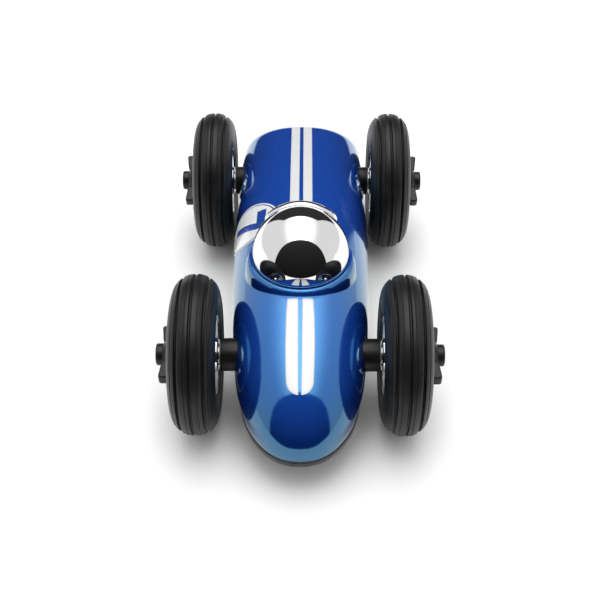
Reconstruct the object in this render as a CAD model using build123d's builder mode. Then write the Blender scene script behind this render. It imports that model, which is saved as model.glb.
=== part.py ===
from build123d import *
import math
import os

# Toy racing car on four wheels. Millimetres, +Z up, nose towards -Y.
# The origin is on the ground under the middle of the car.

# ---------------------------------------------------------------- overall
LENGTH = 274.6          # nose tip to tail end
HALF = LENGTH / 2
AXLE_Z = 43.5           # wheel centre above the ground, half the tyre diameter
FRONT_AXLE_Y = 59.3 - HALF
REAR_AXLE_Y = 223.8 - HALF

# ---------------------------------------------------------------- body lines
SEAM_Z = 25.0           # parting line between the shell and the tray
WIDEST_AT = 160.0       # distance from the nose tip to the widest station
HALF_WIDTH = 40.4
CROWN_AT = 118.0        # distance from the nose tip to the highest station
CROWN = 51.0            # highest point above the parting line
WAIST = 17.0            # widest line above the parting line
TUCK = 0.07             # share of the width lost between waist and parting line
SQUARENESS = 0.60       # handle length of the section curves, 0.552 is an ellipse
WALL = 2.6

# ---------------------------------------------------------------- head and cockpit
HEAD_Y = 103.3 - HALF
HEAD_Z = 78.5
HEAD_R = 26.5
HEAD_FLAT_Z = 60.4      # flat underside of the ball
WELL_FLOOR = 57.8
WELL_R = 26.8
REST_TUBE_R = 3.6       # rolled rim of the headrest
REST_ARC_R = 24.6
REST_ARC_HALF = 45.7    # degrees either side of the back
REST_TILT = 55.2        # degrees that the rim's plane leans
REST_FOOT_Z = 70.0
REST_SEAT_R = 31.0

# ---------------------------------------------------------------- tray
TRAY_Z = 20.4
TRAY_TOP = SEAM_Z - 0.2
TRAY_FLOOR = 23.0
TRAY_INSET = 0.35
TRAY_ROUND = 3.2

# ---------------------------------------------------------------- running gear
AXLE_R = 2.5
RUNNING_CLEARANCE = 0.03
SLEEVE_R = 8.9
SLEEVE_IN = 20.0
SLEEVE_OUT = 42.6
TOWER_IN = 20.0
TOWER_OUT = 27.0
TOWER_R = 10.9
BUSH_R = 5.0
BUSH_IN = 32.0
BUSH_OUT = 43.2
WASHER_IN = 43.3
WASHER_OUT = 43.8
TYRE_MID = 56.5         # middle of the tread from the centre line
TYRE_HALF = 13.15       # half the tyre width
TYRE_R = 43.5
BULGE_R = 31.0          # radius at which the sidewalls are widest
RIM_R = 25.0
BEAD_R = 21.6
GROOVES = (49.0, 55.9, 62.8)
FINE_LINES = (46.6, 52.0, 58.6, 65.6)
SPINNER_SEAT = 66.4
SPINNER_END = 77.5
AXLE_END = 74.0
EAR_R = 17.2            # reach of the two ears
EAR_HALF = 3.3          # half their width
FRONT_EAR_ANGLE = 100.0     # degrees from straight up, towards the nose
REAR_EAR_ANGLE = 114.0

# ---------------------------------------------------------------- markings
SKIN = 0.15             # thickness of the applied stripes and discs
REAR_STRIPE_IN = 1.15
REAR_STRIPE_OUT = 6.68
REAR_STRIPE_FOOT = 47.0     # the stripes run over the tail down to this height
ROUNDEL_S = 148.0       # distance of the disc's centre from the nose tip
ROUNDEL_X = 31.0
DISC_R = 17.0
RING_IN = 17.9
RING_OUT = 18.9


# ================================================================ body lines
def end_round(t, power):
    """Rises from 0 at the tip to 1 where the rounding ends."""
    t = min(max(t, 0.0), 1.0)
    return (1 - (1 - t) ** power) ** (1 / power)


def half_width(s):
    """Half the plan width at distance s from the nose tip."""
    ahead = min(max((WIDEST_AT - s) / WIDEST_AT, 0.0), 1.0)
    behind = min(max((s - WIDEST_AT) / (LENGTH - WIDEST_AT), 0.0), 1.0)
    taper = 1 - 0.299 * ahead ** 1.94 - 0.104 * behind ** 1.175
    nose = end_round(s / 48.6, 2.28)
    tail = end_round((LENGTH - s) / 25.4, 3.0)
    return HALF_WIDTH * taper * nose * tail


def crown_z(s):
    """Height of the spine at distance s from the nose tip."""
    behind = min(max((s - CROWN_AT) / (LENGTH - CROWN_AT), 0.0), 1.0)
    fall = 1 - 0.315 * behind ** 1.53
    nose = end_round(s / CROWN_AT, 2.058)
    tail = end_round((LENGTH - s) / 19.9, 2.66)
    return SEAM_Z + CROWN * fall * nose * tail


def waist_z(s):
    """Height of the widest line at distance s from the nose tip."""
    rise = math.sin(min(s / 85.0, 1.0) * math.pi / 2)
    return SEAM_Z + WAIST * rise * end_round((LENGTH - s) / 45.0, 2.0)


def base_width(s):
    """Half the width at the parting line."""
    return half_width(s) * (1 - TUCK * (waist_z(s) - SEAM_Z) / WAIST)


def surface_z(x, s):
    """Height of the outer skin above a point of the plan."""
    w = half_width(s)
    t = crown_z(s)
    m = waist_z(s)
    low, high = 0.0, 1.0
    for _ in range(40):
        u = (low + high) / 2
        across = w * ((1 - u) ** 3 + 3 * (1 - u) ** 2 * u + 3 * (1 - u) * u * u * SQUARENESS)
        if across > abs(x):
            low = u
        else:
            high = u
    shoulder = m + SQUARENESS * (t - m)
    return (1 - u) ** 3 * m + 3 * (1 - u) ** 2 * u * shoulder + (3 * (1 - u) * u * u + u ** 3) * t


def station(s, grow=0.0, foot=SEAM_Z, stretch=1.0):
    """Arch-shaped cross-section of the body, flat along the bottom."""
    w = half_width(s) + grow
    t = crown_z(s) + grow
    m = waist_z(s)
    b = base_width(s) + grow
    k = SQUARENESS
    lean = 0.35 * (w - b)
    low = (b + lean, foot + 0.35 * (m - foot))
    high = (w, m - 0.4 * (m - foot))
    shoulder = m + k * (t - m)
    plane = Plane(origin=(0, (s - HALF) * stretch, 0), x_dir=(1, 0, 0), z_dir=(0, -1, 0))
    with BuildSketch(plane) as arch:
        with BuildLine():
            Bezier((b, foot), low, high, (w, m))
            Bezier((w, m), (w, shoulder), (k * w, t), (0, t))
            Bezier((0, t), (-k * w, t), (-w, shoulder), (-w, m))
            Bezier((-w, m), (-high[0], high[1]), (-low[0], low[1]), (-b, foot))
            Line((-b, foot), (b, foot))
        make_face()
    return arch.sketch


def hull_sections(grow=0.0):
    """Stations from tip to tip, close together where the ends are round."""
    count = 22
    stretch = 1 + grow / HALF
    sections = [Vertex(0, -HALF * stretch, SEAM_Z)]
    for i in range(1, count):
        s = LENGTH * (1 - math.cos(math.pi * i / count)) / 2
        sections.append(station(s, grow=grow, stretch=stretch))
    sections.append(Vertex(0, HALF * stretch, SEAM_Z))
    return sections


def cavity_sections():
    """Stations of the hollow inside the shell, open at the bottom."""
    places = (4.5, 8, 14, 24, 40, 60, 85, 118, 150, 180, 210, 235, 250, 260, 266, 270)
    return [station(s, grow=-WALL, foot=SEAM_Z - 3) for s in places]


# ================================================================ shared builders
def along_x(y, z=AXLE_Z):
    """Plane whose first axis is the car's X and whose second axis is up."""
    return Plane(origin=(0, y, z), x_dir=(1, 0, 0), z_dir=(0, -1, 0))


def mirrored(points, side):
    return [(side * x, r) for x, r in points]


def turned(profile, y, cuts=()):
    """Solid turned about an axle from (distance from centre line, radius) points."""
    with BuildPart() as piece:
        with BuildSketch(along_x(y)):
            with BuildLine():
                Polyline(*profile, close=True)
            make_face()
            for cut in cuts:
                with BuildLine():
                    Polyline(*cut, close=True)
                make_face(mode=Mode.SUBTRACT)
        revolve(axis=Axis((0, y, AXLE_Z), (1, 0, 0)))
    return piece.part


# ================================================================ body shell
BOSS_PLACES = ((-13.0, 34.0), (13.0, 34.0), (-19.0, 248.0), (19.0, 248.0))
outer_sections = hull_sections()
hollow_sections = cavity_sections()

with BuildPart() as body_shell:
    loft(sections=outer_sections)
    loft(sections=hollow_sections, mode=Mode.SUBTRACT)
    # screw bosses that hang from the ceiling
    for x, s in BOSS_PLACES:
        top = surface_z(abs(x) + 4.0, s + (4 if s > HALF else -4)) - 1.0
        with BuildSketch(Plane.XY.offset(SEAM_Z)):
            with Locations((x, s - HALF)):
                Circle(4.0)
        extrude(amount=top - SEAM_Z)
        with BuildSketch(Plane.XY.offset(SEAM_Z)):
            with Locations((x, s - HALF)):
                Circle(1.46)
        extrude(amount=14.0, mode=Mode.SUBTRACT)
    # cockpit well and its raised coaming
    with BuildSketch(Plane(origin=(0, HEAD_Y, 0), x_dir=(1, 0, 0), z_dir=(0, -1, 0))):
        with BuildLine():
            Spline((27.3, 74.9), (28.2, 74.5), (29.8, 72.9), (30.9, 70.6), (31.2, 66.0))
            Polyline((31.2, 66.0), (29.3, 62.0), (29.3, WELL_FLOOR), (0, WELL_FLOOR), (0, 74.9))
            Line((0, 74.9), (27.3, 74.9))
        make_face()
    revolve(axis=Axis((0, HEAD_Y, 0), (0, 0, 1)))
    with BuildSketch(Plane.XY.offset(HEAD_FLAT_Z)):
        with Locations((0, HEAD_Y)):
            Circle(WELL_R)
    extrude(amount=40, mode=Mode.SUBTRACT)
    with BuildSketch(Plane.XY.offset(WELL_FLOOR - 1)):
        with Locations((0, HEAD_Y)):
            Circle(1.55)
    extrude(amount=6, mode=Mode.SUBTRACT)
    # seat of the headrest
    with BuildSketch(Plane.XY.offset(REST_FOOT_Z)):
        with BuildLine():
            seat_arc = CenterArc((0, HEAD_Y), REST_SEAT_R, 52, 76)
            Polyline(seat_arc @ 1, (0, HEAD_Y), seat_arc @ 0)
        make_face()
    extrude(amount=12, mode=Mode.SUBTRACT)
    # openings for the axle sleeves
    for y in (FRONT_AXLE_Y, REAR_AXLE_Y):
        with BuildSketch(Plane.YZ.offset(-60)):
            with Locations((y, AXLE_Z)):
                Circle(SLEEVE_R + 0.2)
        extrude(amount=120, mode=Mode.SUBTRACT)

# ================================================================ tray under the shell
def outline_points(inset):
    """Closed plan outline at the parting line, drawn in by the inset."""
    count = 36
    starboard = []
    for i in range(count + 1):
        s = LENGTH * (1 - math.cos(math.pi * i / count)) / 2
        starboard.append((base_width(s) * (1 - inset / HALF_WIDTH), (s - HALF) * (1 - inset / HALF)))
    port = [(-x, y) for x, y in starboard[1:-1]]
    return starboard + port[::-1]


with BuildPart() as chassis_tray:
    with BuildSketch(Plane.XY.offset(TRAY_Z)):
        with BuildLine():
            Spline(*outline_points(TRAY_INSET), periodic=True)
        make_face()
    extrude(amount=TRAY_TOP - TRAY_Z)
    fillet(chassis_tray.faces().sort_by(Axis.Z)[0].edges(), radius=TRAY_ROUND)
    with BuildSketch(Plane.XY.offset(TRAY_FLOOR)):
        with BuildLine():
            Spline(*outline_points(TRAY_INSET + 3.6), periodic=True)
        make_face()
    extrude(amount=5, mode=Mode.SUBTRACT)
    # towers that hold the axle sleeves
    for y in (FRONT_AXLE_Y, REAR_AXLE_Y):
        with BuildSketch(Plane.XY.offset(TRAY_FLOOR)):
            with Locations((-(TOWER_IN + TOWER_OUT) / 2, y), ((TOWER_IN + TOWER_OUT) / 2, y)):
                Rectangle(TOWER_OUT - TOWER_IN, 2 * TOWER_R)
        extrude(amount=AXLE_Z - TRAY_FLOOR)
        with BuildSketch(Plane.YZ.offset(TOWER_IN)):
            with Locations((y, AXLE_Z)):
                Circle(TOWER_R)
        extrude(amount=TOWER_OUT - TOWER_IN)
        with BuildSketch(Plane.YZ.offset(-TOWER_OUT)):
            with Locations((y, AXLE_Z)):
                Circle(TOWER_R)
        extrude(amount=TOWER_OUT - TOWER_IN)
        with BuildSketch(Plane.YZ.offset(-60)):
            with Locations((y, AXLE_Z)):
                Circle(SLEEVE_R)
        extrude(amount=120, mode=Mode.SUBTRACT)
    # pads and counterbores for the tray screws
    for x, s in BOSS_PLACES:
        with BuildSketch(Plane.XY.offset(TRAY_FLOOR)):
            with Locations((x, s - HALF)):
                Circle(4.0)
        extrude(amount=SEAM_Z - TRAY_FLOOR)
        with BuildSketch(Plane.XY.offset(TRAY_Z)):
            with Locations((x, s - HALF)):
                Circle(3.2)
        extrude(amount=2.2, mode=Mode.SUBTRACT)
        with BuildSketch(Plane.XY.offset(TRAY_Z)):
            with Locations((x, s - HALF)):
                Circle(1.6)
        extrude(amount=8, mode=Mode.SUBTRACT)

# ================================================================ tray screws
with BuildPart() as chassis_screws:
    for x, s in BOSS_PLACES:
        with BuildSketch(Plane.XY.offset(TRAY_Z + 0.4)):
            with Locations((x, s - HALF)):
                Circle(2.9)
        extrude(amount=1.8)
        with BuildSketch(Plane.XY.offset(TRAY_Z + 2.2)):
            with Locations((x, s - HALF)):
                Circle(1.45)
        extrude(amount=14.0)
        # cross recess in the head
        with BuildSketch(Plane.XY.offset(TRAY_Z + 0.4)):
            with Locations((x, s - HALF)):
                Rectangle(3.4, 0.7)
                Rectangle(0.7, 3.4)
        extrude(amount=0.9, mode=Mode.SUBTRACT)

# ================================================================ ball head
with BuildPart() as helmet:
    with BuildSketch(Plane(origin=(0, HEAD_Y, HEAD_Z), x_dir=(1, 0, 0), z_dir=(0, -1, 0))):
        flat = HEAD_FLAT_Z - HEAD_Z
        rim_x = math.sqrt(HEAD_R ** 2 - flat ** 2)
        hollow_r = HEAD_R - 2.2
        hollow_z = flat + 2.2
        hollow_x = math.sqrt(hollow_r ** 2 - hollow_z ** 2)
        with BuildLine():
            ThreePointArc((rim_x, flat), (HEAD_R, 0), (0, HEAD_R))
            Polyline((0, HEAD_R), (0, flat), (rim_x, flat))
        make_face()
        with BuildLine():
            ThreePointArc((hollow_x, hollow_z), (hollow_r, 0), (4.0, math.sqrt(hollow_r ** 2 - 16.0)))
            Polyline((4.0, math.sqrt(hollow_r ** 2 - 16.0)), (4.0, hollow_z), (hollow_x, hollow_z))
        make_face(mode=Mode.SUBTRACT)
    revolve(axis=Axis((0, HEAD_Y, 0), (0, 0, 1)))
    with BuildSketch(Plane.XY.offset(HEAD_FLAT_Z)):
        with Locations((0, HEAD_Y)):
            Circle(1.46)
    extrude(amount=14.0, mode=Mode.SUBTRACT)

with BuildPart() as helmet_screw:
    with BuildSketch(Plane.XY.offset(WELL_FLOOR - 2.0)):
        with Locations((0, HEAD_Y)):
            Circle(3.4)
    extrude(amount=2.0)
    with BuildSketch(Plane.XY.offset(WELL_FLOOR)):
        with Locations((0, HEAD_Y)):
            Circle(1.45)
    extrude(amount=14.0)
    with BuildSketch(Plane.XY.offset(WELL_FLOOR - 2.0)):
        with Locations((0, HEAD_Y)):
            Rectangle(3.8, 0.8)
            Rectangle(0.8, 3.8)
    extrude(amount=1.0, mode=Mode.SUBTRACT)

# ================================================================ headrest behind the ball
tilt = math.radians(REST_TILT)
arc_distance = math.sqrt((HEAD_R + REST_TUBE_R) ** 2 - REST_ARC_R ** 2)
arc_plane = Plane(
    origin=(0, HEAD_Y + arc_distance * math.sin(tilt), HEAD_Z - arc_distance * math.cos(tilt)),
    x_dir=(1, 0, 0),
    z_dir=(0, -math.sin(tilt), math.cos(tilt)),
)

with BuildPart() as headrest:
    # skirt from the deck up to the plane of the rim
    with BuildSketch(Plane.XY.offset(REST_FOOT_Z)):
        with BuildLine():
            skirt_arc = CenterArc((0, HEAD_Y), REST_SEAT_R - 0.1, 54, 72)
            Polyline(skirt_arc @ 1, (0, HEAD_Y), skirt_arc @ 0)
        make_face()
    extrude(amount=30)
    split(bisect_by=arc_plane, keep=Keep.BOTTOM)
    # rolled rim
    with BuildLine(arc_plane):
        rim_path = CenterArc((0, 0), REST_ARC_R, 90 - REST_ARC_HALF, 2 * REST_ARC_HALF)
    with BuildSketch(Plane(origin=rim_path @ 0, z_dir=rim_path % 0)):
        Circle(REST_TUBE_R)
    sweep(path=rim_path)
    # hollow that the ball sits in
    with Locations((0, HEAD_Y, HEAD_Z)):
        Sphere(HEAD_R + 0.02, mode=Mode.SUBTRACT)
    with BuildSketch(Plane.XY.offset(REST_FOOT_Z - 1)):
        with Locations((0, HEAD_Y)):
            Circle(HEAD_R + 0.35)
    extrude(amount=HEAD_Z - REST_FOOT_Z + 1, mode=Mode.SUBTRACT)


# ================================================================ applied markings
with BuildPart() as skin:
    loft(sections=hull_sections(grow=SKIN))
    loft(sections=outer_sections, mode=Mode.SUBTRACT)


def skin_piece(cutter):
    """Thin layer that lies on the shell inside the outline of the cutter."""
    with BuildPart() as piece:
        add(skin.part)
        add(cutter, mode=Mode.INTERSECT)
    return piece.part


def stripe_cutter_front(side):
    y0 = FRONT_AXLE_Y + 12.8
    with BuildPart() as cutter:
        with BuildSketch(Plane.XY.offset(SEAM_Z)):
            with BuildLine():
                Spline(
                    (side * 6.9, y0),
                    (side * 7.45, FRONT_AXLE_Y),
                    (side * 7.8, FRONT_AXLE_Y - 12),
                    (side * 7.45, FRONT_AXLE_Y - 24),
                    (side * 7.15, FRONT_AXLE_Y - 34.2),
                )
                Spline(
                    (side * 7.15, FRONT_AXLE_Y - 34.2),
                    (side * 5.3, FRONT_AXLE_Y - 38.8),
                    (side * 0.75, FRONT_AXLE_Y - 40.6),
                    tangents=[(-side * 0.02, -1), (-side, -0.05)],
                )
                Polyline((side * 0.75, FRONT_AXLE_Y - 40.6), (side * 1.1, y0), (side * 6.9, y0))
            make_face()
        extrude(amount=70)
    return cutter.part


def stripe_cutter_rear(side):
    y0 = HEAD_Y + 31.0
    with BuildPart() as cutter:
        with BuildSketch(Plane.XY.offset(REAR_STRIPE_FOOT)):
            with BuildLine():
                Polyline(
                    (side * REAR_STRIPE_IN, y0),
                    (side * REAR_STRIPE_OUT, y0),
                    (side * REAR_STRIPE_OUT, HALF + 2),
                    (side * REAR_STRIPE_IN, HALF + 2),
                    close=True,
                )
            make_face()
        extrude(amount=70)
    return cutter.part


# plane touching the flank at the middle of the roundel
roundel_z = surface_z(ROUNDEL_X, ROUNDEL_S)
across = Vector(-(ROUNDEL_X + 0.5), 0, surface_z(ROUNDEL_X + 0.5, ROUNDEL_S))
across -= Vector(-(ROUNDEL_X - 0.5), 0, surface_z(ROUNDEL_X - 0.5, ROUNDEL_S))
along = Vector(0, 1, surface_z(ROUNDEL_X, ROUNDEL_S + 0.5) - surface_z(ROUNDEL_X, ROUNDEL_S - 0.5))
outward = across.cross(along).normalized()
if outward.Z < 0:
    outward = outward * -1
roundel_plane = Plane(
    origin=(-ROUNDEL_X, ROUNDEL_S - HALF, roundel_z),
    x_dir=(0, -1, 0),
    z_dir=outward,
)

DIGIT = (
    (-8.0, 10.5), (8.5, 10.5), (8.5, 5.5), (-0.5, -11.5), (-6.3, -11.5), (2.4, 5.3), (-8.0, 5.3),
)

with BuildPart() as disc_cutter:
    with BuildSketch(roundel_plane.offset(-12)):
        Circle(DISC_R)
        with BuildLine():
            Polyline(*DIGIT, close=True)
        make_face(mode=Mode.SUBTRACT)
    extrude(amount=24)

with BuildPart() as ring_cutter:
    with BuildSketch(roundel_plane.offset(-12)):
        Circle(RING_OUT)
        Circle(RING_IN, mode=Mode.SUBTRACT)
    extrude(amount=24)

with BuildPart() as digit_cutter:
    with BuildSketch(roundel_plane.offset(-12)):
        with BuildLine():
            Polyline(*DIGIT, close=True)
        make_face()
    extrude(amount=24)

markings = {
    "stripe_front_left": skin_piece(stripe_cutter_front(-1)),
    "stripe_front_right": skin_piece(stripe_cutter_front(1)),
    "stripe_rear_left": skin_piece(stripe_cutter_rear(-1)),
    "stripe_rear_right": skin_piece(stripe_cutter_rear(1)),
    "number_disc": skin_piece(disc_cutter.part),
    "number_ring": skin_piece(ring_cutter.part),
    "number_digit": skin_piece(digit_cutter.part),
}


# ================================================================ running gear
def axle_sleeve(side, y):
    """Black tube between the body and the wheel, bored for its bush."""
    points = [
        (SLEEVE_IN, 3.4), (BUSH_IN, 3.4), (BUSH_IN, BUSH_R), (SLEEVE_OUT, BUSH_R),
        (SLEEVE_OUT, SLEEVE_R - 0.5), (SLEEVE_OUT - 0.5, SLEEVE_R), (SLEEVE_IN, SLEEVE_R),
    ]
    return turned(mirrored(points, side), y)


def axle_bush(side, y):
    """Flanged bearing that the axle runs in."""
    bore = AXLE_R + RUNNING_CLEARANCE
    points = [
        (BUSH_IN, bore), (BUSH_OUT, bore), (BUSH_OUT, 6.2),
        (SLEEVE_OUT, 6.2), (SLEEVE_OUT, BUSH_R), (BUSH_IN, BUSH_R),
    ]
    return turned(mirrored(points, side), y)


def axle_washer(side, y):
    points = [(WASHER_IN, AXLE_R), (WASHER_OUT, AXLE_R), (WASHER_OUT, 5.6), (WASHER_IN, 5.6)]
    return turned(mirrored(points, side), y)


def axle(y):
    points = [
        (-AXLE_END, 0), (-AXLE_END, AXLE_R - 0.4), (-AXLE_END + 0.4, AXLE_R),
        (AXLE_END - 0.4, AXLE_R), (AXLE_END, AXLE_R - 0.4), (AXLE_END, 0),
    ]
    return turned(points, y)


def rim(side, y):
    """Closed drum with dished faces; the tyre grips its stepped edge."""
    points = [
        (WASHER_OUT, AXLE_R), (WASHER_OUT, 8.2), (44.2, 8.6), (46.0, 9.4), (46.2, 11.0), (45.4, 20.6),
        (45.0, 21.2), (45.2, BEAD_R), (46.6, BEAD_R), (46.6, RIM_R), (66.6, RIM_R), (66.6, BEAD_R),
        (67.8, BEAD_R), (68.0, 21.2), (67.6, 20.6), (66.4, 12.0), (SPINNER_SEAT, AXLE_R),
    ]
    hollow = [(49.0, 8.0), (64.0, 8.0), (64.0, 21.5), (49.0, 21.5)]
    return turned(mirrored(points, side), y, cuts=[mirrored(hollow, side)])


def tyre_radius(x):
    """Outer radius of the tyre before its grooves, x from the middle of the tread."""
    return BULGE_R + (TYRE_R - BULGE_R) * (1 - abs(x / TYRE_HALF) ** 2.1) ** (1 / 2.1)


def groove_size(place):
    """Half width at the mouth, half width at the bottom, and depth."""
    if place in FINE_LINES:
        return 0.25, 0.15, 0.3
    if place == GROOVES[-1]:
        return 0.9, 0.3, 1.5
    return 0.8, 0.3, 1.1


def tyre(side, y):
    """Ribbed balloon tyre turned in one piece."""
    crown = []
    for i in range(1, 24):
        angle = math.pi * i / 24
        x = -TYRE_HALF * math.cos(angle)
        crown.append((side * (TYRE_MID + x), tyre_radius(x)))
    inner = side * (TYRE_MID - TYRE_HALF)
    outer = side * (TYRE_MID + TYRE_HALF)
    bead_in = side * 44.9
    bead_out = side * 68.1
    with BuildPart() as piece:
        with BuildSketch(along_x(y)):
            with BuildLine():
                Spline((inner, BULGE_R), *crown, (outer, BULGE_R), tangents=[(0, 1), (0, -1)])
                Spline((outer, BULGE_R), (side * 69.2, 25.5), (bead_out, BEAD_R),
                       tangents=[(0, -1), (-side, -0.7)])
                Polyline((bead_out, BEAD_R), (side * 66.6, BEAD_R), (side * 66.6, RIM_R),
                         (side * 46.6, RIM_R), (side * 46.6, BEAD_R), (bead_in, BEAD_R))
                Spline((bead_in, BEAD_R), (side * 43.8, 25.5), (inner, BULGE_R),
                       tangents=[(-side, 0.7), (0, 1)])
            make_face()
            for place in GROOVES + FINE_LINES:
                r = tyre_radius(place - TYRE_MID)
                wide, narrow, depth = groove_size(place)
                with BuildLine():
                    Polyline((side * (place - wide), r + 1), (side * (place - narrow), r - depth),
                             (side * (place + narrow), r - depth), (side * (place + wide), r + 1), close=True)
                make_face(mode=Mode.SUBTRACT)
        revolve(axis=Axis((0, y, AXLE_Z), (1, 0, 0)))
    return piece.part


def spinner(side, y, angle):
    """Knock-off cap with two flared ears."""
    profile = [
        (SPINNER_SEAT, 0), (SPINNER_SEAT, 9.6), (69.6, 8.8), (72.2, 7.2), (73.2, 5.9),
        (SPINNER_END - 0.9, 5.9), (SPINNER_END - 0.25, 5.6), (SPINNER_END, 4.9), (SPINNER_END, 0),
    ]
    ear = [(67.4, 5.0), (70.2, EAR_R), (75.3, EAR_R), (74.2, 8.0), (73.0, 5.0)]
    with BuildPart() as cap:
        with BuildSketch(along_x(y)):
            with BuildLine():
                Polyline(*mirrored(profile, side), close=True)
            make_face()
        revolve(axis=Axis((0, y, AXLE_Z), (1, 0, 0)))
        for turn in (math.radians(angle), math.radians(angle + 180)):
            radial = Plane(origin=(0, y, AXLE_Z), x_dir=(1, 0, 0), z_dir=(0, -math.cos(turn), -math.sin(turn)))
            with BuildSketch(radial) as ear_face:
                with BuildLine():
                    Polyline(*mirrored(ear, side), close=True)
                make_face()
                fillet(ear_face.vertices().sort_by(Axis.Y)[-2:], radius=1.4)
            extrude(amount=EAR_HALF, both=True)
        with BuildSketch(Plane.YZ.offset(side * SPINNER_SEAT)):
            with Locations((y, AXLE_Z)):
                Circle(AXLE_R)
        extrude(amount=side * (AXLE_END - SPINNER_SEAT), mode=Mode.SUBTRACT)
    return cap.part


# ================================================================ write the pieces
pieces = {
    "body_shell": body_shell.part,
    "chassis_tray": chassis_tray.part,
    "chassis_screws": chassis_screws.part,
    "helmet": helmet.part,
    "helmet_screw": helmet_screw.part,
    "headrest": headrest.part,
}
pieces.update(markings)

for end, y, ear_angle in (("front", FRONT_AXLE_Y, FRONT_EAR_ANGLE), ("rear", REAR_AXLE_Y, REAR_EAR_ANGLE)):
    pieces["axle_" + end] = axle(y)
    for hand, side in (("left", -1), ("right", 1)):
        tag = end + "_" + hand
        pieces["axle_sleeve_" + tag] = axle_sleeve(side, y)
        pieces["axle_bush_" + tag] = axle_bush(side, y)
        pieces["axle_washer_" + tag] = axle_washer(side, y)
        pieces["rim_" + tag] = rim(side, y)
        pieces["tyre_" + tag] = tyre(side, y)
        pieces["spinner_" + tag] = spinner(side, y, ear_angle)

os.makedirs("parts", exist_ok=True)
for name, piece in pieces.items():
    piece.label = name
    export_step(piece, "parts/" + name + ".step")
    print(name, len(piece.solids()), round(piece.volume, 1), piece.is_valid)
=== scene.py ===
import math

import bmesh
import bpy
import numpy as np
from mathutils import Euler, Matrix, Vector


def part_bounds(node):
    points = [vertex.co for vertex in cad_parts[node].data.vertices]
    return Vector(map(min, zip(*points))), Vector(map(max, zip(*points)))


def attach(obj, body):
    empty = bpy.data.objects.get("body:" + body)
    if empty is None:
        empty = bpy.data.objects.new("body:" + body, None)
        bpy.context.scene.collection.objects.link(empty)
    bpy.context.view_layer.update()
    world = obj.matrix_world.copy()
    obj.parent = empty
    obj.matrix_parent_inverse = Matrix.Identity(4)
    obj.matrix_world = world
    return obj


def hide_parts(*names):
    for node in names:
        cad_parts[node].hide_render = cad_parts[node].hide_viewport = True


# Looks of the toy racing car. Lengths are millimetres until a mesh is made, +Z up, nose towards -Y.

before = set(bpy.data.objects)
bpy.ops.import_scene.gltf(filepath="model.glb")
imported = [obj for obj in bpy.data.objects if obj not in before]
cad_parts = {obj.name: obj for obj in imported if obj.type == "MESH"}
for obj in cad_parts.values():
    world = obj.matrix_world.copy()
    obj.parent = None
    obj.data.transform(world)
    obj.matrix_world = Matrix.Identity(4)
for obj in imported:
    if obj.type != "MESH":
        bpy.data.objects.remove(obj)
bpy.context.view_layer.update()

MM = 0.001
ENDS = ("front", "rear")
HANDS = (("left", -1.0), ("right", 1.0))


def part_box(node):
    """Lowest and highest corner of a CAD node, in millimetres."""
    low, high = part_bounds(node)
    return np.array(low) / MM, np.array(high) / MM


# -------- places taken from the frame
tyre_low, tyre_high = part_box("tyre_front_right")
ball_low, ball_high = part_box("helmet")
TYRE_R = (tyre_high[2] - tyre_low[2]) / 2
AXLE_Z = (tyre_high[2] + tyre_low[2]) / 2
AXLE_Y = {end: float(np.mean([box[1] for box in part_box("axle_" + end)])) for end in ENDS}
OUTER_TUCK = 1.25  # how much flatter the outer sidewall is than the plain CAD ring
TYRE_MID = (tyre_high[0] + tyre_low[0] - OUTER_TUCK) / 2
TYRE_HALF = (tyre_high[0] - tyre_low[0] - OUTER_TUCK) / 2
HEAD_R = (ball_high[0] - ball_low[0]) / 2
HEAD_Y = (ball_high[1] + ball_low[1]) / 2
HEAD_Z = ball_high[2] - HEAD_R
HEAD_FLAT_Z = ball_low[2]
SEAM_Z = part_box("body_shell")[0][2]
TRAY_Z = part_box("chassis_tray")[0][2]

# -------- body lines
LENGTH = 274.6
NOSE_Y = AXLE_Y["front"] - 59.3
HALF_WIDTH = 40.4
WIDEST_AT = 160.0  # distance from the nose tip
CROWN_AT = 118.0  # distance of the highest station
CROWN_Z = 76.0
NOSE_TAPER = (0.299, 2.2)  # share of the width lost and the power that spreads the loss
TAIL_TAPER = (0.038, 1.5)
TAIL_FALL = (0.315, 1.53)  # the same for the height of the spine behind its crown
NOSE_PLAN = (48.6, 2.28)  # length and power of the rounded ends: nose in plan
TAIL_PLAN = (25.4, 3.0)  # tail in plan
TAIL_SIDE = (19.9, 2.66)  # tail seen from the side
TAIL_WAIST = (45.0, 2.0)  # waist line, running down to the parting line at the tail
CROWN_POWER = 2.14  # rounding of the spine from the nose to its crown
WAIST_AT = 85.0  # where the waist line reaches its full height
WAIST = 17.0  # widest line above the parting line
TUCK = 0.07  # share of the width lost below it
SQUARENESS = 0.60  # handle length of the section curves at the spine
SIDE_SQUARENESS = 0.66  # the same at the waist, where the flanks stand steeper
NOSE_SQUARENESS = 0.46  # the same at the nose, where the spine is more of a ridge
SQUARE_FROM = 80.0  # distance where the nose's own squareness has gone
LOW_HANDLES = (0.35, 0.4)  # handle lengths of the curve below the waist
LIP = 0.5  # rounding of the shell's lower edge
FOOT = SEAM_Z + LIP
LIP_DEPTH = 1.6  # how far the lower edge turns in
WALL = 2.2
WAIST_V = 0.3  # where the section parameter crosses the waist

# -------- cockpit
WELL_R = 26.62
COAMING_TOP_R = 27.1
COAMING_TOP_Z = 75.5
COAMING_REACH = 3.7  # from its top ring to its steepest ring
COAMING_DROP = 8.0
COAMING_ROLL = (2.2, 2.0)  # powers of the rolled profile
COAMING_WALL = 25.0  # slope beyond the steepest ring
COAMING_INNER = 0.75  # curvature of the roll inside the top ring
COAMING_BLEND = 3.4
WELL_FLOOR = HEAD_FLAT_Z - 0.05


# ======== formulas of the skin
HALVINGS = 36  # steps of the searches by halving


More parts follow.
